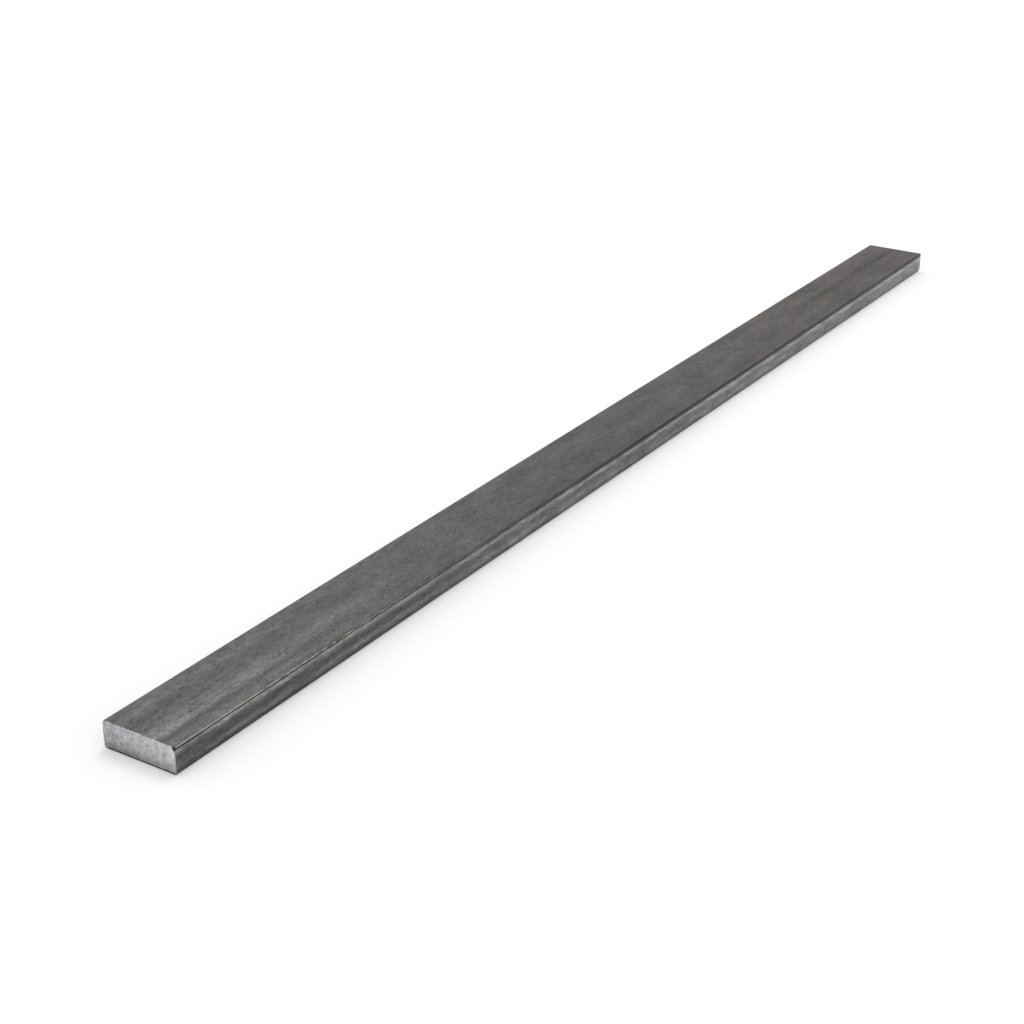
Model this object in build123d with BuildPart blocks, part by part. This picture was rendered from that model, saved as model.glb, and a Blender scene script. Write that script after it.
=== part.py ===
from build123d import *

import os

# A hot-rolled steel flat bar: one rolled section, cut to length at both ends.
#
# Frame: X runs along the bar, Y across its width, Z up through its thickness. The origin is the middle
# of the underside, so the bar lies on the plane Z = 0. Every size is in millimetres.

# Stock size
bar_width = 30.0
bar_thickness = 10.0
bar_length = 600.0

# Rolled section: the rolls squeeze the two wide faces flat, and the metal that spreads sideways leaves
# the narrow sides slightly crowned. The upper corners come out nearly sharp, the lower ones fuller.
side_crown = 0.15
upper_corner_radius = 0.3
lower_corner_radius = 0.8

# Rolling seam: a fine groove along the -Y side, close under the upper face, where the two rolls met.
# It is deepest at the -X end and gets shallower until it is gone.
seam_drop = 0.6
seam_groove_radius = 0.35
seam_depth = 0.12
seam_length = 220.0

# Cut ends: the blade draws the lower arris round as it bites, and the others stay nearly sharp.
drawn_arris_radius = 0.6
arris_break = 0.15

# Blunted corner: the cut face at -X lost its upper -Y corner, a rounding that runs out into the edge.
blunt_corner_radius = 2.5
blunt_corner_depth = 0.5

half_width = bar_width / 2
half_length = bar_length / 2
# Two corners share each narrow side, so none may take up more of the thickness than this.
largest_corner = 0.45 * bar_thickness

with BuildPart() as flat_bar:
    # The section as seen along the bar: its X is the bar's Y, and its Y is the bar's Z.
    with BuildSketch(Plane.YZ) as rolled_section:
        side_foot = half_width - side_crown
        with BuildLine():
            Line((-side_foot, 0), (side_foot, 0))
            ThreePointArc((side_foot, 0), (half_width, bar_thickness / 2), (side_foot, bar_thickness))
            Line((side_foot, bar_thickness), (-side_foot, bar_thickness))
            seam_side = ThreePointArc(
                (-side_foot, bar_thickness), (-half_width, bar_thickness / 2), (-side_foot, 0)
            )
        make_face()
        fillet(rolled_section.vertices().group_by(Axis.Y)[0], min(lower_corner_radius, largest_corner))
        fillet(rolled_section.vertices().group_by(Axis.Y)[-1], min(upper_corner_radius, largest_corner))
    extrude(amount=half_length, both=True)

    # Every arris of the two cut faces is broken a little.
    cut_faces = flat_bar.faces().filter_by(Axis.X)
    chamfer(cut_faces.edges(), arris_break)

    # The lower arris of each cut face is drawn round across the whole width.
    with BuildSketch(Plane.XZ) as drawn_arris:
        arris_square = drawn_arris_radius / 2
        for end in (-1, 1):
            with Locations((end * (half_length - arris_square), arris_square)):
                Rectangle(drawn_arris_radius, drawn_arris_radius)
            with Locations((end * (half_length - drawn_arris_radius), drawn_arris_radius)):
                Circle(drawn_arris_radius, mode=Mode.SUBTRACT)
    extrude(amount=half_width, both=True, mode=Mode.SUBTRACT)

    # The blunted corner is widest on the cut face and narrows to the section's own corner behind it.
    for depth, radius in ((0, blunt_corner_radius), (blunt_corner_depth, upper_corner_radius)):
        with BuildSketch(Plane.YZ.offset(depth - half_length)):
            with Locations((-half_width, bar_thickness)):
                Rectangle(2 * radius, 2 * radius)
            with Locations((radius - half_width, bar_thickness - radius)):
                Circle(radius, mode=Mode.SUBTRACT)
    loft(ruled=True, mode=Mode.SUBTRACT)

    # The seam is cut by a straight round groove that rises out of the side. The groove is made a tenth
    # longer than the seam, so that it is clear of the side where it ends.
    seam_line = seam_side.position_at(seam_drop, position_mode=PositionMode.LENGTH)
    outward = (seam_line - seam_side.arc_center).normalized()
    for run, depth in ((0, seam_depth), (1.1 * seam_length, -0.1 * seam_depth)):
        with BuildSketch(Plane.YZ.offset(run - half_length)):
            with Locations(seam_line + outward * (seam_groove_radius - depth)):
                Circle(seam_groove_radius)
    loft(ruled=True, mode=Mode.SUBTRACT)

flat_bar.part.label = "flat_bar"

os.makedirs("parts", exist_ok=True)
export_step(flat_bar.part, "parts/flat_bar.step")
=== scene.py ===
# %% [markdown]
# # A hot-rolled steel flat bar
#
# A flat bar is stock: a rectangle of steel that was squeezed between rolls while it glowed, and cut to
# length when it was cold. Three things make it look real, and this notebook makes them in that order:
# the section that the rolls leave, the two cut ends, and the dark oxide skin called mill scale.

# %% Load the packed part
import math

import bpy
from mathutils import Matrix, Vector


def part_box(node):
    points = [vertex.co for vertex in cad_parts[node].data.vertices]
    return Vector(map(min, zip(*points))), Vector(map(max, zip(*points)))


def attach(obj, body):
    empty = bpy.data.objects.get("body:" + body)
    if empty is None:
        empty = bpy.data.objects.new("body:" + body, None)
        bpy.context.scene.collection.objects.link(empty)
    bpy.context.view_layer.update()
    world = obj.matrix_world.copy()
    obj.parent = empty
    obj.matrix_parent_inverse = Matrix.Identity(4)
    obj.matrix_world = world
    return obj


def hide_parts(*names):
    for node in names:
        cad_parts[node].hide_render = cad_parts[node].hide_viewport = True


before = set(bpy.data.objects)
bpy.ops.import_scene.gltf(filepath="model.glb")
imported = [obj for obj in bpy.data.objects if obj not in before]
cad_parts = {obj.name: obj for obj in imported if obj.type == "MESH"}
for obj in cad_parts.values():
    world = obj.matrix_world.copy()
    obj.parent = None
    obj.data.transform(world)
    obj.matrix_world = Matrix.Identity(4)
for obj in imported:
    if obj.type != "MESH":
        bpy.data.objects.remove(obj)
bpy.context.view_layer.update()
bar_low, bar_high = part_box("flat_bar")
print("the bar fills", bar_low, "to", bar_high)

# %% [markdown]
# ## Sizes
#
# The bar's length, width and thickness come from the part itself, so the model can never disagree
# with the drawing. The trees below think in millimetres, the unit a workshop uses, and only their last
# step turns the result into Blender's metres.

# %% Sizes of the stock, in millimetres
MM = 0.001
bar_length, bar_width, bar_thickness = ((high - low) / MM for low, high in zip(bar_low, bar_high))
print(f"stock: {bar_length:.1f} x {bar_width:.1f} x {bar_thickness:.1f} mm")

# %% [markdown]
# ## Writing node trees as sums
#
# Materials and Geometry Nodes are both trees of small sums. Placed by hand they fill a screen, so a
# small class stands for the output of a node here: adding, multiplying or comparing two of them adds the
# Math node and hands back its output. One method adds every other kind of node.

# %% A wire that does arithmetic
class Wire:
    """The output socket of a node. Arithmetic on it adds Math nodes to its tree."""

    def __init__(self, tree, socket):
        self.tree = tree
        self.socket = socket

    def also(self, output):
        """Another output of the same node."""
        return Wire(self.tree, self.socket.node.outputs[output])

    def math(self, operation, *others):
        return self.tree.add("ShaderNodeMath", {"operation": operation}, dict(enumerate((self, *others))))

    def __add__(self, other):
        return self.math("ADD", other)

    __radd__ = __add__

    def __sub__(self, other):
        return self.math("SUBTRACT", other)

    def __rsub__(self, other):
        return -self + other

    def __mul__(self, other):
        return self.math("MULTIPLY", other)

    __rmul__ = __mul__

    def __truediv__(self, other):
        return self.math("DIVIDE", other)

    def __pow__(self, other):
        return self.math("POWER", other)

    def __neg__(self):
        return self.math("MULTIPLY", -1.0)

    def __abs__(self):
        return self.math("ABSOLUTE")

    def __gt__(self, other):
        return self.math("GREATER_THAN", other)

    def __lt__(self, other):
        return self.math("LESS_THAN", other)

    def at_least(self, other):
        return self.math("MAXIMUM", other)

    def at_most(self, other):
        return self.math("MINIMUM", other)

    def rise(self, start, stop):
        """0 before start, 1 after stop, and a soft slope between them."""
        settings = {"interpolation_type": "SMOOTHSTEP"}
        inputs = {"Value": self, "From Min": start, "From Max": stop}
        return self.tree.add("ShaderNodeMapRange", settings, inputs)

    def fall(self, start, stop):
        """1 before start, 0 after stop, and a soft slope between them."""
        return 1.0 - self.rise(start, stop)

    def bell(self, middle, half_width):
        """1 at the middle, a third at half_width from it, and 0 far away."""
        return (-((self - middle) / half_width) ** 2.0).math("EXPONENT")


print("besides its sums, a wire knows", ", ".join(name for name in vars(Wire) if name[0] != "_"))

# %% A tree that takes any node
# The sockets of a Mix node share their names, so its two colours and their mix go by number.
MIX_FIRST = 6
MIX_SECOND = 7
MIXED_COLOUR = 2


class Tree:
    """A node tree for a material or for geometry, filled from Python."""

    def __init__(self, nodes_and_links):
        self.nodes = nodes_and_links.nodes
        self.links = nodes_and_links.links

    def add(self, kind, settings=None, inputs=None, output=0):
        """Adds a node. Its settings are set first, then its sockets, by name or by number."""
        node = self.nodes.new(kind)
        for name, value in (settings or {}).items():
            setattr(node, name, value)
        for name, value in (inputs or {}).items():
            if isinstance(value, Wire):
                self.links.new(value.socket, node.inputs[name])
            else:
                node.inputs[name].default_value = value
        return Wire(self, node.outputs[output]) if node.outputs else node

    def split(self, vector):
        """The X, Y and Z of a vector as three wires."""
        parts = self.add("ShaderNodeSeparateXYZ", {}, {"Vector": vector})
        return parts, parts.also("Y"), parts.also("Z")

    def join(self, x, y, z):
        return self.add("ShaderNodeCombineXYZ", {}, {"X": x, "Y": y, "Z": z})

    def noise(self, x, y, z, detail, roughness):
        """Clouds about one unit across, from 0 to 1 with most of it near 0.5."""
        inputs = {"Vector": self.join(x, y, z), "Scale": 1.0, "Detail": detail, "Roughness": roughness}
        return self.add("ShaderNodeTexNoise", {"noise_dimensions": "3D"}, inputs)

    def blend(self, share, first, second):
        """From the first colour at 0 to the second at 1."""
        inputs = {"Factor": share, MIX_FIRST: first, MIX_SECOND: second}
        return self.add("ShaderNodeMix", {"data_type": "RGBA"}, inputs, output=MIXED_COLOUR)

    def scale(self, colour, factor):
        """A colour made lighter or darker, with its hue kept."""
        inputs = {"Vector": colour, "Scale": factor}
        return self.add("ShaderNodeVectorMath", {"operation": "SCALE"}, inputs)


print("besides any node, a tree knows", ", ".join(name for name in vars(Tree) if name[0] != "_"))

# %% [markdown]
# ## The rolled bar as a rule
#
# A real bar has no modelled corners: a rule made it. The same section comes out of the rolls for its
# whole length, and only the ends are different. Geometry Nodes suit that. A cube that is divided like
# graph paper gives the points, and sums move each of them to its place on the bar.
#
# Extruding a drawn section would be quicker, but its end faces would be single polygons that can carry
# no pits, and its long faces couldn't follow a seam that fades out.

# %% Named inputs of the tree
bar_tree = bpy.data.node_groups.new("Rolled flat bar", "GeometryNodeTree")
bar_tree.interface.new_socket("Geometry", in_out="OUTPUT", socket_type="NodeSocketGeometry")
tree_inputs = {
    "Length": bar_length,
    "Width": bar_width,
    "Thickness": bar_thickness,
    "Side crown": 0.15,
    "Upper corner radius": 0.3,
    "Lower corner radius": 0.8,
    "Seam drop": 0.6,
    "Seam half width": 0.28,
    "Seam depth": 0.12,
    "Seam length": 220.0,
    "Drawn arris radius": 0.6,
    "Knocked corner radius": 2.0,
    "Arris break": 0.15,
    "Blunt corner radius": 2.1,
    "Blunt corner depth": 0.5,
    "Pit depth": 0.12,
    "Stations along": 230,
    "Rows across": 124,
    "Rows through": 52,
    "Rolled skin": None,
    "Cut steel": None,
}
socket_types = {float: "NodeSocketFloat", int: "NodeSocketInt", type(None): "NodeSocketMaterial"}
for name, value in tree_inputs.items():
    bar_tree.interface.new_socket(name, in_out="INPUT", socket_type=socket_types[type(value)])

tree = Tree(bar_tree)
group_input = bar_tree.nodes.new("NodeGroupInput")
given = {socket.name: Wire(tree, socket) for socket in group_input.outputs if socket.name}
print("the tree takes", ", ".join(given))

# %% [markdown]
# ### Graph paper that is finer where it matters
#
# The corners are a few tenths of a millimetre round, and the faces between them are flat. Evenly spaced
# rows would waste most points on the flats, so the rows crowd towards the edges. Along the bar they
# crowd towards the cut ends, where a rounding of half a millimetre needs several rows.

# %% The divided cube
CUBE_SIDE = 2.0  # so a place in the cube is a share from -1 to 1
CAP_SHARE = 0.9999  # beyond it along the bar, a point or a face is on a cap

grid = tree.add("GeometryNodeMeshCube", {}, {
    "Size": (CUBE_SIDE, CUBE_SIDE, CUBE_SIDE),
    "Vertices X": given["Stations along"],
    "Vertices Y": given["Rows across"],
    "Vertices Z": given["Rows through"],
})
along, across, through = tree.split(tree.add("GeometryNodeInputPosition"))
on_cap = abs(along) > CAP_SHARE
cap_faces = tree.add("GeometryNodeStoreNamedAttribute", {"data_type": "BOOLEAN", "domain": "FACE"}, {
    "Geometry": grid, "Name": "cut_face", "Value": on_cap,
})
print("rows:", [tree_inputs[name] for name in ("Stations along", "Rows across", "Rows through")])

# %% Rows that crowd towards the edges
CROWDING_ACROSS = 0.75
CROWDING_THROUGH = 0.7
FIRST_ROW = 0.015  # how close the second station is to a cut end, against even spacing


def crowd(share, amount):
    """Moves evenly spaced shares from -1 to 1 towards both ends."""
    return share + (share * math.pi).math("SINE") * (amount / math.pi)


half_length = given["Length"] * 0.5
half_width = given["Width"] * 0.5
half_thickness = given["Thickness"] * 0.5

end_side = along.math("SIGN")
inward = 1.0 - abs(along)
from_end = half_length * inward * (FIRST_ROW + inward * (1.0 - FIRST_ROW))
x = end_side * (half_length - from_end)
y = crowd(across, CROWDING_ACROSS) * half_width
z = crowd(through, CROWDING_THROUGH) * half_thickness + half_thickness
print("the plain block takes", len(bar_tree.nodes), "nodes")

# %% [markdown]
# ### Round corners without a fold
#
# Near a corner, a point of the square section lies in a small square. Keeping its direction from the
# corner's centre, and setting its distance to the larger of its two offsets, turns that square into a
# quarter circle. Points inside move less than points outside, so nothing folds.
#
# The upper corners are nearly sharp and the lower ones fuller. At one end a corner was blunted by the
# shear: its radius is large on the cut face and falls to the ordinary one half a millimetre behind it.

# %% The section's corners
TINY = 1e-4  # keeps a division away from zero


def rounded(a, b):
    """Maps the square corner zone of offsets a and b on to a quarter circle."""
    reach = (a * a + b * b).math("SQRT").at_least(TINY)
    keep = abs(a).at_least(abs(b)) / reach
    return a * keep, b * keep


is_top = z > half_thickness
is_seam_side = y < 0.0
blunting = (along < 0.0) * is_seam_side * (1.0 - from_end / given["Blunt corner depth"]).at_least(0.0)
upper_radius = given["Upper corner radius"]
upper_radius = upper_radius + blunting * (given["Blunt corner radius"] - given["Upper corner radius"])
radius = given["Lower corner radius"] + is_top * (upper_radius - given["Lower corner radius"])

centre_y = y.at_least(radius - half_width).at_most(half_width - radius)
centre_z = z.at_least(radius).at_most(given["Thickness"] - radius)
out_y, out_z = rounded(y - centre_y, z - centre_z)
y = centre_y + out_y
z = centre_z + out_z
print("corners:", {name: size for name, size in tree_inputs.items() if "corner radius" in name})

# %% [markdown]
# ### The seam and the crowned sides
#
# Where the two rolls met they left a fine groove along one side, close under the upper face, with a thin
# fin of metal between the groove and the edge. The groove is deepest at one end and fades along the bar.
# The metal that spread sideways left each narrow side a little fuller in its middle.

# %% Seam and crown
below_top = given["Thickness"] - z
from_minus_end = x + half_length
seam_shape = (1.0 - ((below_top - given["Seam drop"]) / given["Seam half width"]) ** 2.0).at_least(0.0)
seam_left = (1.0 - from_minus_end / given["Seam length"]).at_least(0.0)
near_side = (1.0 - (y + half_width) / given["Seam drop"]).at_least(0.0)
y = y + seam_shape * seam_left * near_side * given["Seam depth"]

level = (z - half_thickness) / half_thickness
y = y * (1.0 - level * level * given["Side crown"] / half_width)
print("the seam fades out over", tree_inputs["Seam length"], "mm")

# %% [markdown]
# ### The cut ends
#
# A shear doesn't leave a clean edge. The upper arris is broken unevenly, so its inset follows a noise.
# The lower arris was drawn round by the blade, and at the other end one lower corner took a knock that
# left it rounder still.

# %% Broken and drawn arrises
FACE_DRIFT = 0.02  # a cut face is flat, so its marks hardly change along the bar
RAGS_PER_MM = 0.9
LEAST_BREAK = 0.2  # this and the next are shares of the arris break
RAGGED_BREAK = 2.6
KNOCK_REACH = (1.0, 7.0)  # across the bar, from the seam side

raggedness = tree.noise(x * FACE_DRIFT, y * RAGS_PER_MM, z * RAGS_PER_MM, detail=3.0, roughness=0.6)
arris_break = given["Arris break"] * (LEAST_BREAK + raggedness * raggedness * RAGGED_BREAK)
inset = (arris_break - from_end).at_least(0.0)
y = y * (1.0 - inset / half_width)
z = half_thickness + (z - half_thickness) * (1.0 - inset / half_thickness)

knocked = (along > 0.0) * (y + half_width).fall(*KNOCK_REACH)
arris_radius = given["Drawn arris radius"]
arris_radius = arris_radius + knocked * (given["Knocked corner radius"] - given["Drawn arris radius"])
past = (arris_radius - from_end).at_least(0.0)
below = (arris_radius - z).at_least(0.0)
round_past, round_below = rounded(past, below)
in_arris = (past > 0.0) * (below > 0.0)
x = x + end_side * in_arris * (round_past - past)
z = z - in_arris * (round_below - below)
print("the lower arris is drawn round by", tree_inputs["Drawn arris radius"], "mm")

# %% [markdown]
# ### Torn and pitted faces
#
# Half-way through, the steel gives up and tears. The face is left rough, with pits where grains of metal
# came away. Both could be painted, but a pit a tenth of a millimetre deep catches light on its rim, so
# each point of the face moves a little into the bar, never out of it. Pits are the cells of a Voronoi
# pattern that drew a lucky number, and the steel's colour asks the same helper for them.

# %% Tearing and pits
PIT_SPACING = 1.5
PIT_RADIUS = 0.42
PIT_CHANCE = 0.15
PIT_MIDDLE = 2.0  # most pits are near this place across the bar
PIT_SPREAD = 9.0
TEARS_PER_MM = (1.6, 1.1)  # across and up
TEAR_DEPTH = 0.05


def torn_pits(tree, x, y, z):
    """How deep a pit is at a place on the cut face, from 0 to 1."""
    place = tree.join(x * FACE_DRIFT, y / PIT_SPACING, z / PIT_SPACING)
    spots = tree.add("ShaderNodeTexVoronoi", {"feature": "F1"}, {"Vector": place, "Scale": 1.0})
    luck = tree.split(spots.also("Color"))[0]
    hollow = (1.0 - (spots * PIT_SPACING / PIT_RADIUS) ** 2.0).at_least(0.0)
    return hollow * (luck < y.bell(PIT_MIDDLE, PIT_SPREAD) * PIT_CHANCE)


pit = torn_pits(tree, x, y, z)
tears_across, tears_up = TEARS_PER_MM
tearing = tree.noise(x * FACE_DRIFT, y * tears_across, z * tears_up, detail=4.0, roughness=0.6)
x = x - end_side * on_cap * (pit * given["Pit depth"] + tearing * TEAR_DEPTH)
print("pits are", 2 * PIT_RADIUS, "mm across")

# %% [markdown]
# ### Two finishes on one piece
#
# The bar is one piece of steel, so it stays one mesh. Its skin is mill scale everywhere except on the two
# caps of the cube, which are the cut faces: those were marked before anything moved.

# %% From millimetres to a finished mesh
shaped = tree.add("GeometryNodeSetPosition", {}, {
    "Geometry": cap_faces, "Position": tree.join(x * MM, y * MM, z * MM),
})
smooth = tree.add("GeometryNodeSetShadeSmooth", {}, {"Geometry": shaped})
whole = tree.add("GeometryNodeRealizeInstances", {}, {"Geometry": smooth})
skinned = tree.add("GeometryNodeSetMaterial", {}, {"Geometry": whole, "Material": given["Rolled skin"]})
cut_face = tree.add("GeometryNodeInputNamedAttribute", {"data_type": "BOOLEAN"}, {"Name": "cut_face"})
finished = tree.add("GeometryNodeSetMaterial", {}, {
    "Geometry": skinned, "Selection": cut_face, "Material": given["Cut steel"],
})
tree.add("NodeGroupOutput", {}, {"Geometry": finished})
print("the rule has", len(bar_tree.nodes), "nodes")

# %% [markdown]
# ## Mill scale
#
# Steel that cools in air grows a thin skin of iron oxide. It is dark grey and a little glossy, because
# it is nearly a metal itself. Rolling presses it into fine grain and long streaks, and where it is thin
# or rubbed the steel shines through.
#
# A pattern that is tied to the bar needs to know where on the bar it is. Object coordinates say that, and
# in millimetres every number below can be held against a ruler.

# %% A material to fill
def new_material(name):
    """An empty material and its tree."""
    material = bpy.data.materials.new(name)
    material.use_nodes = True
    material.node_tree.nodes.clear()
    return material, Tree(material.node_tree)


def finish_material(shader, surface):
    shader.add("ShaderNodeOutputMaterial", {}, {"Surface": surface})


def in_millimetres(shader):
    """Where a point of the bar is, along, across and up, in millimetres."""
    place = shader.add("ShaderNodeTexCoord", output="Object")
    return [axis / MM for axis in shader.split(place)]


rolled_skin, shader = new_material("rolled skin")
x, y, z = in_millimetres(shader)
print("started the material", rolled_skin.name)

# %% Places on the skin
SIDE_BEGINS = (0.25, 0.5)  # how far inside the width the narrow side gives way to the wide face

from_minus_end = x + bar_length / 2
from_end = bar_length / 2 - abs(x)
from_seam_edge = y + bar_width / 2
below_top = bar_thickness - z
from_side = bar_width / 2 - abs(y)
on_side = from_side.fall(*SIDE_BEGINS)
on_wide_face = 1.0 - on_side
on_seam_side = on_side * (y < 0.0)


def along_bar(near, far, start, stop):
    """The near number at the -X end, the far one beyond stop, and a soft slope from start to stop."""
    return near + (far - near) * from_minus_end.rise(start, stop)


print("places on the skin use", len(shader.nodes), "nodes")

# %% [markdown]
# ### Grain, mottle and streaks
#
# Each mark of the scale has a size of its own, so each is a noise of its own, stretched by so many
# millimetres along, across and up. One noise with much detail would be simpler, but it has the same look
# in every direction, and rolled steel hasn't: its marks are longest along the bar. On the narrow sides
# they are longer still, because the metal slid there while it spread.

# %% Noises of a given size
def mark(shader, place, size, detail, roughness):
    """Clouds from -0.5 to 0.5, of a size in millimetres along, across and up."""
    scaled = [axis / extent for axis, extent in zip(place, size)]
    return shader.noise(*scaled, detail, roughness) - 0.5


skin = (x, y, z)
grain = mark(shader, skin, size=(1.6, 0.8, 0.8), detail=4.0, roughness=0.8)
drawn_grain = mark(shader, skin, size=(4.5, 0.8, 0.7), detail=4.0, roughness=0.8)
speck = mark(shader, skin, size=(1.1, 0.7, 0.7), detail=2.0, roughness=0.6)
scuffs = mark(shader, skin, size=(4.5, 1.9, 1.4), detail=4.0, roughness=0.75)
drawn_scuffs = mark(shader, skin, size=(11.0, 1.9, 1.2), detail=4.0, roughness=0.75)
mottle = mark(shader, skin, size=(17.0, 5.5, 3.0), detail=4.0, roughness=0.6)
smudge = mark(shader, skin, size=(13.0, 1.0, 2.4), detail=4.0, roughness=0.7)
streaks = mark(shader, skin, size=(120.0, 1.7, 1.3), detail=3.0, roughness=0.6)
patches = mark(shader, (x, y, 0.0), size=(28.0, 9.0, 1.0), detail=2.0, roughness=0.5)
wander = mark(shader, (x, 0.0, 0.0), size=(40.0, 1.0, 1.0), detail=2.0, roughness=0.5)

DRAWN_CONTRAST = 1.15
drawn_out = on_side * along_bar(near=0.1, far=1.0, start=50.0, stop=200.0)
grain = grain + drawn_out * (drawn_grain * DRAWN_CONTRAST - grain)
scuffs = scuffs + drawn_out * (drawn_scuffs - scuffs)
print("with its marks the skin uses", len(shader.nodes), "nodes")

# %% [markdown]
# ### Streaks along the upper face
#
# Where a roll slipped or a guide rubbed, the scale is thinner and paler for a hand's breadth. Noise puts
# such streaks anywhere, so these are placed one by one: a bell across the bar, a fade at both ends, and
# the mottle to fray it.

# %% Pale and dark streaks
WANDER = 2.2
MOTTLE_FRAYS = 1.1
GRAIN_FRAYS = 1.2
frayed = (mottle * MOTTLE_FRAYS + grain * GRAIN_FRAYS + 1.0).at_least(0.0)


def rolled_streak(middle, half_width, start, stop, fade):
    """A streak along the upper face: its line across the bar, and the stretch of length it covers."""
    line = (y + wander * WANDER).bell(middle, half_width) * on_wide_face
    line = line * frayed * from_minus_end.rise(start - fade, start)
    return line * from_minus_end.fall(stop, stop + fade)


def all_streaks(rows):
    """The streaks of a table, each as strong as its last column says."""
    total, *others = [rolled_streak(*row[:-1]) * row[-1] for row in rows]
    for streak in others:
        total = total + streak
    return total


# The columns: middle and half width across the bar, start and stop along it, fade, strength.
PALE_STREAKS = [
    (-6.2, 1.7, 0.0, 15.0, 70.0, 0.56),
    (-3.4, 2.4, 20.0, 60.0, 100.0, 0.36),
    (9.5, 2.0, 15.0, 60.0, 40.0, 0.2),
    (-12.2, 1.5, 0.0, 50.0, 60.0, 0.2),
]
DARK_STREAKS = [
    (4.5, 2.4, 0.0, 100.0, 60.0, 0.14),
    (-9.0, 0.8, 6.0, 70.0, 40.0, 0.3),
    (1.4, 2.0, 510.0, 578.0, 30.0, 0.45),
    (-12.0, 3.5, 200.0, 600.0, 120.0, 0.12),
    (-4.0, 7.0, 240.0, 600.0, 130.0, 0.1),
]
streaked = 1.0 + all_streaks(PALE_STREAKS) - all_streaks(DARK_STREAKS)
print(len(PALE_STREAKS), "pale and", len(DARK_STREAKS), "dark streaks")

# %% [markdown]
# ### The edge with the seam
#
# The fin over the seam is bright for a short stretch and then only here and there: partly rubbed bare
# steel, partly painted highlight. The groove is a dark line of painted shade. Further along, where the
# groove is gone, the edge itself is darkened with painted shade, with a second faint line of painted shade
# just inside it, and the corner that the shear blunted is darkened with painted shade too. Geometry makes
# the groove; these masks say where each colour goes.

# %% Masks along the seam edge
# A pair is where a mask starts to change and where it has changed, in millimetres from the -X end unless
# it says otherwise.
FIN_ACROSS = (0.05, 0.35)  # from the side
FIN_DOWN = (0.35, 0.5)  # from the upper face
FIN_BREAK_LENGTH = 5.0
FIN_NOISE_LINE = 3.0  # the fin has a line of the noise to itself
FIN_WHOLE = (15.0, 90.0)
FIN_WHOLENESS = 0.14
FIN_THRESHOLD = (0.42, 0.6)  # of the noise
FIN_STARTS = (0.4, 1.0)
FIN_ENDS = (60.0, 165.0)
fin_breaks = shader.noise(x / FIN_BREAK_LENGTH, FIN_NOISE_LINE, 0.0, detail=3.0, roughness=0.7)
fin_whole = from_minus_end.fall(*FIN_WHOLE) * FIN_WHOLENESS
# A bright line on the fin's crest: partly rubbed bare steel, partly painted highlight.
fin_glint_and_wear = from_seam_edge.fall(*FIN_ACROSS) * below_top.fall(*FIN_DOWN)
fin_glint_and_wear = fin_glint_and_wear * (fin_breaks + fin_whole).rise(*FIN_THRESHOLD)
fin_glint_and_wear = fin_glint_and_wear * from_minus_end.rise(*FIN_STARTS) * from_minus_end.fall(*FIN_ENDS)

SEAM_LINE_ENDS = (110.0, 250.0)
# The groove shows as a dark line: painted shade.
seam = below_top.bell(middle=0.72, half_width=0.22) * on_seam_side
seam = seam * from_minus_end.fall(*SEAM_LINE_ENDS)

INNER_LINE_DEPTH = 0.2  # it is on the upper face only
INNER_LINE_STARTS = (40.0, 130.0)
INNER_LINE_ENDS = (220.0, 330.0)
# A faint dark line on the upper face just inside the edge: painted shade.
inner_shade = from_seam_edge.bell(middle=0.8, half_width=0.35) * (below_top < INNER_LINE_DEPTH)
inner_shade = inner_shade * from_minus_end.rise(*INNER_LINE_STARTS)
inner_shade = inner_shade * from_minus_end.fall(*INNER_LINE_ENDS)

EDGE_LINE_ACROSS = (0.1, 0.9)
EDGE_LINE_DOWN = (1.1, 1.9)
EDGE_LINE_STARTS = (60.0, 290.0)
# Where the groove is gone, the edge itself is darkened: painted shade along the rounded edge.
edge_shade = from_seam_edge.fall(*EDGE_LINE_ACROSS) * below_top.fall(*EDGE_LINE_DOWN)
edge_shade = edge_shade * from_minus_end.rise(*EDGE_LINE_STARTS)

BLUNTED_ALONG = (0.3, 1.0)
BLUNTED_ROUND = (0.8, 2.0)  # from the corner, across and down together
# The corner blunted by the shear is darkened: painted shade.
blunted = (from_seam_edge.at_least(0.0) + below_top).fall(*BLUNTED_ROUND)
blunted = from_minus_end.fall(*BLUNTED_ALONG) * blunted
print("the seam shows as a line for", SEAM_LINE_ENDS[1], "mm")

# %% [markdown]
# ### The bands of the sides
#
# The narrow sides carry bands: a pale one near the upper edge, which is painted highlight, a fainter pale
# one lower down, and a darker strip at the foot, which is painted shade. The streaks shift each band up
# and down, so that it doesn't look ruled.

# %% Masks of the sides
BAND_HALF_WIDTH = 1.0
BAND_SHIFT = 1.2
BAND_SCUFFS = 0.8
# The pale band near the upper edge is painted highlight, where the rounded edge and the crowned side
# mirror the white floor.
band_drop = along_bar(near=1.6, far=2.6, start=60.0, stop=420.0)
upper_band_highlight = (below_top + streaks * BAND_SHIFT - band_drop).bell(0.0, BAND_HALF_WIDTH)
upper_band_highlight = upper_band_highlight * along_bar(near=0.8, far=1.0, start=0.0, stop=50.0)
upper_band_highlight = upper_band_highlight * along_bar(near=2.0, far=0.55, start=0.0, stop=420.0)
upper_band_highlight = upper_band_highlight * (1.0 + mottle + scuffs * BAND_SCUFFS).at_least(0.0)

LOW_BAND_SHIFT = 1.6
LOW_BAND_ENDS = (150.0, 560.0)
low_band = (below_top + streaks * LOW_BAND_SHIFT).bell(middle=7.1, half_width=1.2)
low_band = low_band * from_minus_end.fall(*LOW_BAND_ENDS)

# The foot of each side is darkened: painted shade, where the side mirrors the floor's shadow beside the
# bar.
FOOT_HEIGHT = (0.9, 2.6)
painted_foot_shade = z.fall(*FOOT_HEIGHT)
print("with its masks the skin uses", len(shader.nodes), "nodes")
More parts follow.
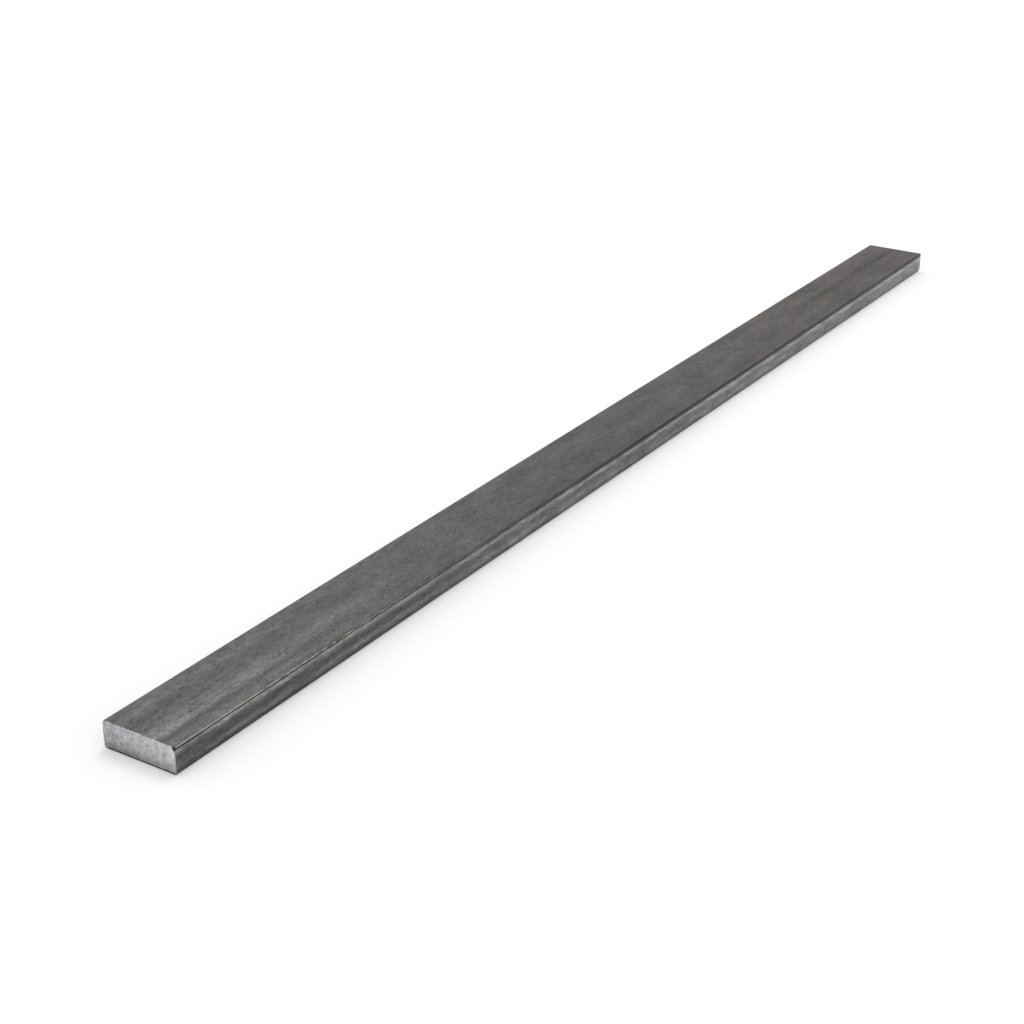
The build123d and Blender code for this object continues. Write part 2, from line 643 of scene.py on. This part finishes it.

# %% [markdown]
# ### Colour of the scale
#
# A tone is worked out first, as one number, because light and dark carry nearly all of the look. The hue
# comes last and hardly differs from grey: a little warmer far along the upper face, a little brown on the
# near side. Tones stay low, between 0.07 and 0.2, as for any dark metal that mirrors a white room. Their
# slopes along the bar are painted shade on the upper face and painted reflection on the sides.

# %% Tone of the faces
LOW_BAND_LIGHT = 0.65
FOOT_SHADE = 0.2
SMUDGE_NEAR = 2.0
SMUDGE_FADE = 500.0
LEAST_SMUDGED = 0.3
FAR_END_HIGHLIGHT = 0.35
# The upper face darkens along the bar: painted shade, which holds down the far part, seen at a low angle,
# where it mirrors more of the room.
top_tone_and_shade = along_bar(near=0.117, far=0.084, start=0.0, stop=300.0)
top_tone_and_shade = top_tone_and_shade + along_bar(near=0.0, far=-0.012, start=300.0, stop=600.0)
# The sides lighten along the bar: painted reflection of the white floor, which the far part, seen at a low
# angle, mirrors more.
side_tone_and_light = along_bar(near=0.084, far=0.112, start=40.0, stop=220.0)
side_tone_and_light = side_tone_and_light + along_bar(near=0.0, far=0.096, start=60.0, stop=680.0)
side_tone_and_light = side_tone_and_light * (1.0 + upper_band_highlight + low_band * LOW_BAND_LIGHT) * (1.0 - painted_foot_shade * FOOT_SHADE)
smudging = SMUDGE_NEAR - from_minus_end / SMUDGE_FADE
side_tone_and_light = side_tone_and_light * (1.0 + smudge * smudging).at_least(LEAST_SMUDGED)
# A narrow strip at the far end of each side is lightened: painted highlight.
side_tone_and_light = side_tone_and_light * (1.0 + from_end.bell(middle=1.5, half_width=1.5) * (x > 0.0) * FAR_END_HIGHLIGHT)
tone = top_tone_and_shade + on_side * (side_tone_and_light - top_tone_and_shade)
print("faces and sides have their tone")

# %% Marks on the tone
# How much each mark lightens and darkens the tone. On the wide faces the grain softens and the scuffs
# and mottle grow coarser along the bar.
GRAIN_SHARE = 2.1
GRAIN_LOSS = 0.4
GRAIN_SOFTENS = (150.0, 350.0)
COARSENESS = 0.45
COARSENS = (250.0, 600.0)
SPECK_SHARE = 0.9
SCUFF_SHARE = 1.5
MOTTLE_SHARE = 0.7
STREAK_SHARE = 0.4
LEAST_MARKED = 0.1
DARKEST = 0.008
grain_share = GRAIN_SHARE - GRAIN_LOSS * from_minus_end.rise(*GRAIN_SOFTENS) * on_wide_face
coarseness = 1.0 + COARSENESS * from_minus_end.rise(*COARSENS) * on_wide_face
patch_share = along_bar(near=0.4, far=1.2, start=60.0, stop=260.0)

marked = 1.0 + grain * grain_share + speck * SPECK_SHARE
marked = marked + (scuffs * SCUFF_SHARE + mottle * MOTTLE_SHARE) * coarseness
marked = marked + streaks * STREAK_SHARE + patches * patch_share
tone = tone * streaked * marked.at_least(LEAST_MARKED)
# The seam, the edge, the line inside it and the blunted corner darken the tone here: painted shade.
for line, darkness in ((seam, 0.8), (edge_shade, 0.8), (inner_shade, 0.38), (blunted, 0.75)):
    tone = tone * (1.0 - line * darkness)
tone = tone.at_least(DARKEST)
print("with its tone the skin uses", len(shader.nodes), "nodes")

# %% Hue
PLAIN_GREY = (1.0, 0.998, 0.995, 1.0)
WARM_GREY = (1.1, 0.98, 0.91, 1.0)
BROWN_GREY = (1.01, 0.995, 0.9, 1.0)
WARM_STARTS = (160.0, 560.0)
WARM_MOTTLE = 1.5
BROWN_ENDS = (100.0, 320.0)
BROWN_EVEN = 0.4
BROWN_SMUDGE = 2.0
warm = from_minus_end.rise(*WARM_STARTS) * on_wide_face * (1.0 + mottle * WARM_MOTTLE)
brown = (BROWN_EVEN - smudge * BROWN_SMUDGE).at_least(0.0)
brown = on_side * from_minus_end.fall(*BROWN_ENDS) * brown
hue = shader.blend(warm.at_most(1.0), PLAIN_GREY, WARM_GREY)
hue = shader.blend(brown.at_most(1.0), hue, BROWN_GREY)
scale_colour = shader.scale(hue, tone)
print("the scale has its colour")

# %% [markdown]
# ### Where the scale is gone
#
# Scale is brittle. It chips off along the upper arris of a cut and in flecks down the arris of the side,
# and there the bare steel shows. The bright line on the fin's crest has the same colour: partly rubbed
# bare by handling, partly painted highlight.

# %% Rubbed and chipped places
BARE_STEEL = (0.62, 0.62, 0.62, 1.0)
CHIPS_PER_MM = 0.1
CHIP_SIZE = 0.75
CHIP_THRESHOLD = (0.36, 0.72)  # of the noise
CHIP_REACH = 0.45
CHIP_EDGE = (0.0, 0.1)
TOP_CHIPS_DOWN = (0.2, 0.5)
SIDE_CHIPS_ALONG = (0.1, 0.25)
SIDE_CHIPS_DOWN = (1.5, 2.5)
SIDE_CHIPS_UP = (0.5, 1.0)
FIN_BARE_AND_GLINT = 0.95
chipped = shader.noise(x * CHIPS_PER_MM, y / CHIP_SIZE, z / CHIP_SIZE, detail=3.0, roughness=0.65)
chip_reach = chipped.rise(*CHIP_THRESHOLD) * CHIP_REACH
top_chips = (from_end - chip_reach).fall(*CHIP_EDGE) * below_top.fall(*TOP_CHIPS_DOWN)
top_chips = top_chips * (1.0 - blunted)
side_chips = from_end.fall(*SIDE_CHIPS_ALONG) * on_seam_side
side_chips = side_chips * below_top.rise(*SIDE_CHIPS_DOWN) * z.rise(*SIDE_CHIPS_UP)
# The fin's bright line joins the chips here: partly bare steel, partly painted highlight.
bare_and_glint = (fin_glint_and_wear * FIN_BARE_AND_GLINT).at_least(top_chips).at_least(side_chips * chipped)
colour = shader.blend(bare_and_glint.at_most(1.0), scale_colour, BARE_STEEL)
print("chips reach", CHIP_REACH, "mm from the cut")

# %% [markdown]
# ### Gloss and relief
#
# Grain that is only painted looks like paper. Here it also changes the roughness, and a bump of a few
# hundredths of a millimetre makes the highlight break up. So fine a relief isn't worth any points of the
# mesh.

# %% Gloss and relief of the scale
SCALE_ROUGHNESS = 0.52
GRAIN_ROUGHENS = 0.35
MOTTLE_ROUGHENS = 0.2
RUBBING_SMOOTHS = 0.12
GRAIN_HEIGHT = 0.02
SPECK_HEIGHT = 0.01
STREAK_HEIGHT = 0.03
roughness = SCALE_ROUGHNESS + grain * GRAIN_ROUGHENS + mottle * MOTTLE_ROUGHENS - bare_and_glint * RUBBING_SMOOTHS
relief = grain * GRAIN_HEIGHT + speck * SPECK_HEIGHT + streaks * STREAK_HEIGHT
bump = shader.add("ShaderNodeBump", {}, {"Strength": 0.7, "Distance": MM, "Height": relief})
surface = shader.add("ShaderNodeBsdfPrincipled", {}, {
    "Base Color": colour,
    "Metallic": 0.8,
    "Roughness": roughness,
    "Normal": bump,
})
finish_material(shader, surface)
print("mill scale uses", len(shader.nodes), "nodes")

# %% [markdown]
# ## Bare cut steel
#
# The shear pushed through the bar and left bare metal: light grey, torn, with short upright marks where
# the blade dragged and dark pits where the metal came away. The drawn arris at the foot is the last of the
# skin, dragged over the edge. It is painted near black: partly the dark scale, partly painted shade under
# the arris where it meets the floor.

# %% Marks of the blade
cut_steel, shader = new_material("cut steel")
x, y, z = in_millimetres(shader)
face = (x * FACE_DRIFT, y, z)
pit = torn_pits(shader, x, y, z)
tear = mark(shader, face, size=(1.0, 0.8, 0.9), detail=4.0, roughness=0.7)
drag = mark(shader, face, size=(1.0, 0.4, 3.5), detail=2.0, roughness=0.5)
cloud = mark(shader, face, size=(1.0, 3.2, 2.4), detail=3.0, roughness=0.6)

# The foot of the cut face is dark partly as drawn scale and partly as painted shade under the arris.
FOOT_UP = (0.62, 0.95)
FOOT_ACROSS = (-1.7, -1.1)  # it stops short of the side away from the seam
FOOT_RAGS = 0.3
from_plain_side = y - bar_width / 2
foot_scale_and_shade = (z + tear * FOOT_RAGS).fall(*FOOT_UP) * from_plain_side.fall(*FOOT_ACROSS)
drag_marks = from_plain_side.bell(middle=-2.2, half_width=2.6)
print("marks of the blade use", len(shader.nodes), "nodes")

# %% Tone of the cut steel
STEEL_TONE = 0.45
# Painted light: the cut face is lighter towards the seam side.
PAINTED_LIGHT_PER_MM = 0.0055  # it is lighter towards the seam side
TEAR_SHARE = 1.5
DRAG_SHARE = 0.15
DRAG_MARK_SHARE = 1.2
CLOUD_SHARE = 1.2
FOOT_TONE = 0.62
FOOT_GAIN = 0.38
FOOT_GAIN_UP = (0.5, 5.2)
UPPER_BAND = 0.12
PIT_DARK = 0.6
CORNER_LIGHT = 0.1
steel_tone = STEEL_TONE - PAINTED_LIGHT_PER_MM * y
drag_share = DRAG_SHARE + drag_marks * DRAG_MARK_SHARE
steel_tone = steel_tone * (1.0 + tear * TEAR_SHARE + drag * drag_share + cloud * CLOUD_SHARE)
# The cut face darkens towards the foot: painted shade near the floor. Near the top it has a paler band.
foot_shade_and_upper_band = FOOT_TONE + FOOT_GAIN * z.rise(*FOOT_GAIN_UP)
foot_shade_and_upper_band = foot_shade_and_upper_band + UPPER_BAND * z.bell(middle=8.3, half_width=1.3)
steel_tone = steel_tone * foot_shade_and_upper_band * (1.0 - pit * PIT_DARK)
seam_corner = (y + bar_width / 2).bell(middle=1.5, half_width=1.5)
steel_tone = steel_tone * (1.0 + CORNER_LIGHT * seam_corner)
print("the cut steel has its tone")

# %% Colour, gloss and relief of the cut steel
BLUE_STEEL = (0.97, 0.995, 1.03, 1.0)
PLAIN_STEEL = (0.99, 1.0, 1.01, 1.0)
DRAWN_SCALE_AND_SHADE = (0.012, 0.012, 0.012, 1.0)
BLUE_CLOUDS = (0.35, 0.65)  # from the bluest cloud to the plainest
STEEL_METALLIC = 0.85
STEEL_ROUGHNESS = 0.5
TEAR_ROUGHENS = 0.2
FOOT_ROUGHENS = 0.4
TEAR_HEIGHT = 0.05
DRAG_HEIGHT = 0.03
steel_hue = shader.blend((cloud + 0.5).rise(*BLUE_CLOUDS), BLUE_STEEL, PLAIN_STEEL)
steel_colour = shader.blend(foot_scale_and_shade, shader.scale(steel_hue, steel_tone), DRAWN_SCALE_AND_SHADE)
relief = tear * TEAR_HEIGHT + drag * DRAG_HEIGHT
bump = shader.add("ShaderNodeBump", {}, {"Strength": 0.8, "Distance": MM, "Height": relief})
surface = shader.add("ShaderNodeBsdfPrincipled", {}, {
    "Base Color": steel_colour,
    "Metallic": STEEL_METALLIC - foot_scale_and_shade * STEEL_METALLIC,
    "Specular IOR Level": 0.0,
    "Roughness": STEEL_ROUGHNESS + tear * TEAR_ROUGHENS + foot_scale_and_shade * FOOT_ROUGHENS,
    "Normal": bump,
})
finish_material(shader, surface)
print("cut steel uses", len(shader.nodes), "nodes")

# %% [markdown]
# ## Rolling the bar
#
# A modifier runs the tree on a throwaway object. Its inputs are set through the sockets' identifiers
# before the first evaluation, and the result is copied out as a plain mesh. The mesh comes with an empty
# first material slot, which goes.

# %% The bar itself
tree_inputs["Rolled skin"] = rolled_skin
tree_inputs["Cut steel"] = cut_steel
carrier = bpy.data.objects.new("carrier", bpy.data.meshes.new("carrier"))
bpy.context.scene.collection.objects.link(carrier)
modifier = carrier.modifiers.new("Rolled flat bar", "NODES")
modifier.node_group = bar_tree
for item in bar_tree.interface.items_tree:
    if item.in_out == "INPUT":
        modifier[item.identifier] = tree_inputs[item.name]

depsgraph = bpy.context.evaluated_depsgraph_get()
bar_mesh = bpy.data.meshes.new_from_object(carrier.evaluated_get(depsgraph), depsgraph=depsgraph)
bpy.data.objects.remove(carrier)
bar_mesh.materials.pop(index=0)
bar = bpy.data.objects.new("rolled_bar", bar_mesh)
bpy.context.scene.collection.objects.link(bar)
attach(bar, "root")
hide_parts("flat_bar")
print("triangles:", sum(len(face.vertices) - 2 for face in bar_mesh.polygons))
print("finishes:", [material.name for material in bar_mesh.materials])

# %% [markdown]
# ## A pale floor
#
# The bar lies on a white floor. Its colour is a light grey, so that the lamp doesn't burn it out, and it
# glows a little for the rays of the camera, for reflections and for glass, which is what makes it white.
# The glow grows away from the bar, where the lamp reaches less, so that the far floor is as white as the
# sky. Diffuse rays don't see it, so it puts no light on the bar, and the bar's shadow stays.

# %% The floor
FLOOR_REACH = 12.0
FLOOR_COLOUR = (0.78, 0.78, 0.78, 1.0)
FLOOR_GLOW = 0.195
FAR_GLOW = 0.11
FAR_GLOW_GROWS = (0.4, 2.6)  # metres from the bar's middle
WHITE = (1.0, 1.0, 1.0, 1.0)


def seen_directly(shader):
    """1 for camera, mirror and glass rays, 0 for the rays that carry light on to surfaces."""
    rays = shader.add("ShaderNodeLightPath", output="Is Camera Ray")
    return rays.at_least(rays.also("Is Glossy Ray")).at_least(rays.also("Is Transmission Ray"))


corner_signs = [(-1, -1), (1, -1), (1, 1), (-1, 1)]
corners = [(x_sign * FLOOR_REACH, y_sign * FLOOR_REACH, 0.0) for x_sign, y_sign in corner_signs]
floor_mesh = bpy.data.meshes.new("floor")
floor_mesh.from_pydata(corners, [], [(0, 1, 2, 3)])
floor = bpy.data.objects.new("floor", floor_mesh)
bpy.context.scene.collection.objects.link(floor)

floor_paint, shader = new_material("floor paint")
matte = shader.add("ShaderNodeBsdfDiffuse", {}, {"Color": FLOOR_COLOUR})
place = shader.add("ShaderNodeTexCoord", output="Object")
distance = shader.add("ShaderNodeVectorMath", {"operation": "LENGTH"}, {"Vector": place}, output="Value")
strength = seen_directly(shader) * (FLOOR_GLOW + distance.rise(*FAR_GLOW_GROWS) * FAR_GLOW)
glow = shader.add("ShaderNodeEmission", {}, {"Color": WHITE, "Strength": strength})
finish_material(shader, shader.add("ShaderNodeAddShader", {}, {0: matte, 1: glow}))
floor_mesh.materials.append(floor_paint)
print("floor reaches", FLOOR_REACH, "m each way")

# %% [markdown]
# ## The sky
#
# Light from everywhere at once, like a white tent round the table, does most of the work: a metal shows
# what it mirrors, and in a tent that is even white. What is seen directly is pure white.

# %% A white tent
SKY = 0.9
world = bpy.data.worlds.new("studio")
bpy.context.scene.world = world
world.use_nodes = True
world.node_tree.nodes.clear()
shader = Tree(world.node_tree)
sky = shader.add("ShaderNodeBackground", {}, {
    "Color": WHITE,
    "Strength": SKY + seen_directly(shader) * (1.0 - SKY),
})
shader.add("ShaderNodeOutputWorld", {}, {"Surface": sky})
print("the sky gives", SKY, "of white")

# %% [markdown]
# ## One soft lamp
#
# A large lamp hangs high, a little beyond the far end of the bar, so that the near end's shadow falls
# towards the camera. It is wide, which keeps the shadow's edge soft.

# %% The lamp
LAMP_PLACE = (0.6, 0.1, 1.9)
LAMP_SIDE = 0.9
LAMP_POWER = 8.5
lamp_data = bpy.data.lights.new("lamp", "AREA")
lamp_data.shape = "RECTANGLE"
lamp_data.size = LAMP_SIDE
lamp_data.size_y = LAMP_SIDE
lamp_data.energy = LAMP_POWER
lamp = bpy.data.objects.new("lamp", lamp_data)
lamp.location = LAMP_PLACE
lamp.rotation_euler = (-Vector(LAMP_PLACE)).to_track_quat("-Z", "Y").to_euler()
bpy.context.scene.collection.objects.link(lamp)
print("the lamp hangs at", LAMP_PLACE)

# %% [markdown]
# ## The camera
#
# It stands low beside one end and looks along the bar, so the near end is large and the far end small.

# %% Camera
IMAGE_WIDTH = 1024
FOCAL_PIXELS = 1890.16
SENSOR_WIDTH = 36.0
CAMERA_PLACE = (-0.65567, -0.36641, 0.31654)
YAW = math.radians(32.839)
PITCH = math.radians(24.934)
camera_data = bpy.data.cameras.new("camera")
camera_data.sensor_width = SENSOR_WIDTH
camera_data.lens = FOCAL_PIXELS / IMAGE_WIDTH * SENSOR_WIDTH
camera = bpy.data.objects.new("camera", camera_data)
camera.location = CAMERA_PLACE
camera.rotation_euler = (math.pi / 2 - PITCH, 0.0, YAW - math.pi / 2)
bpy.context.scene.collection.objects.link(camera)
bpy.context.scene.camera = camera
bpy.context.scene.view_settings.view_transform = "Standard"
print(f"lens {camera_data.lens:.1f} mm")

# %% [markdown]
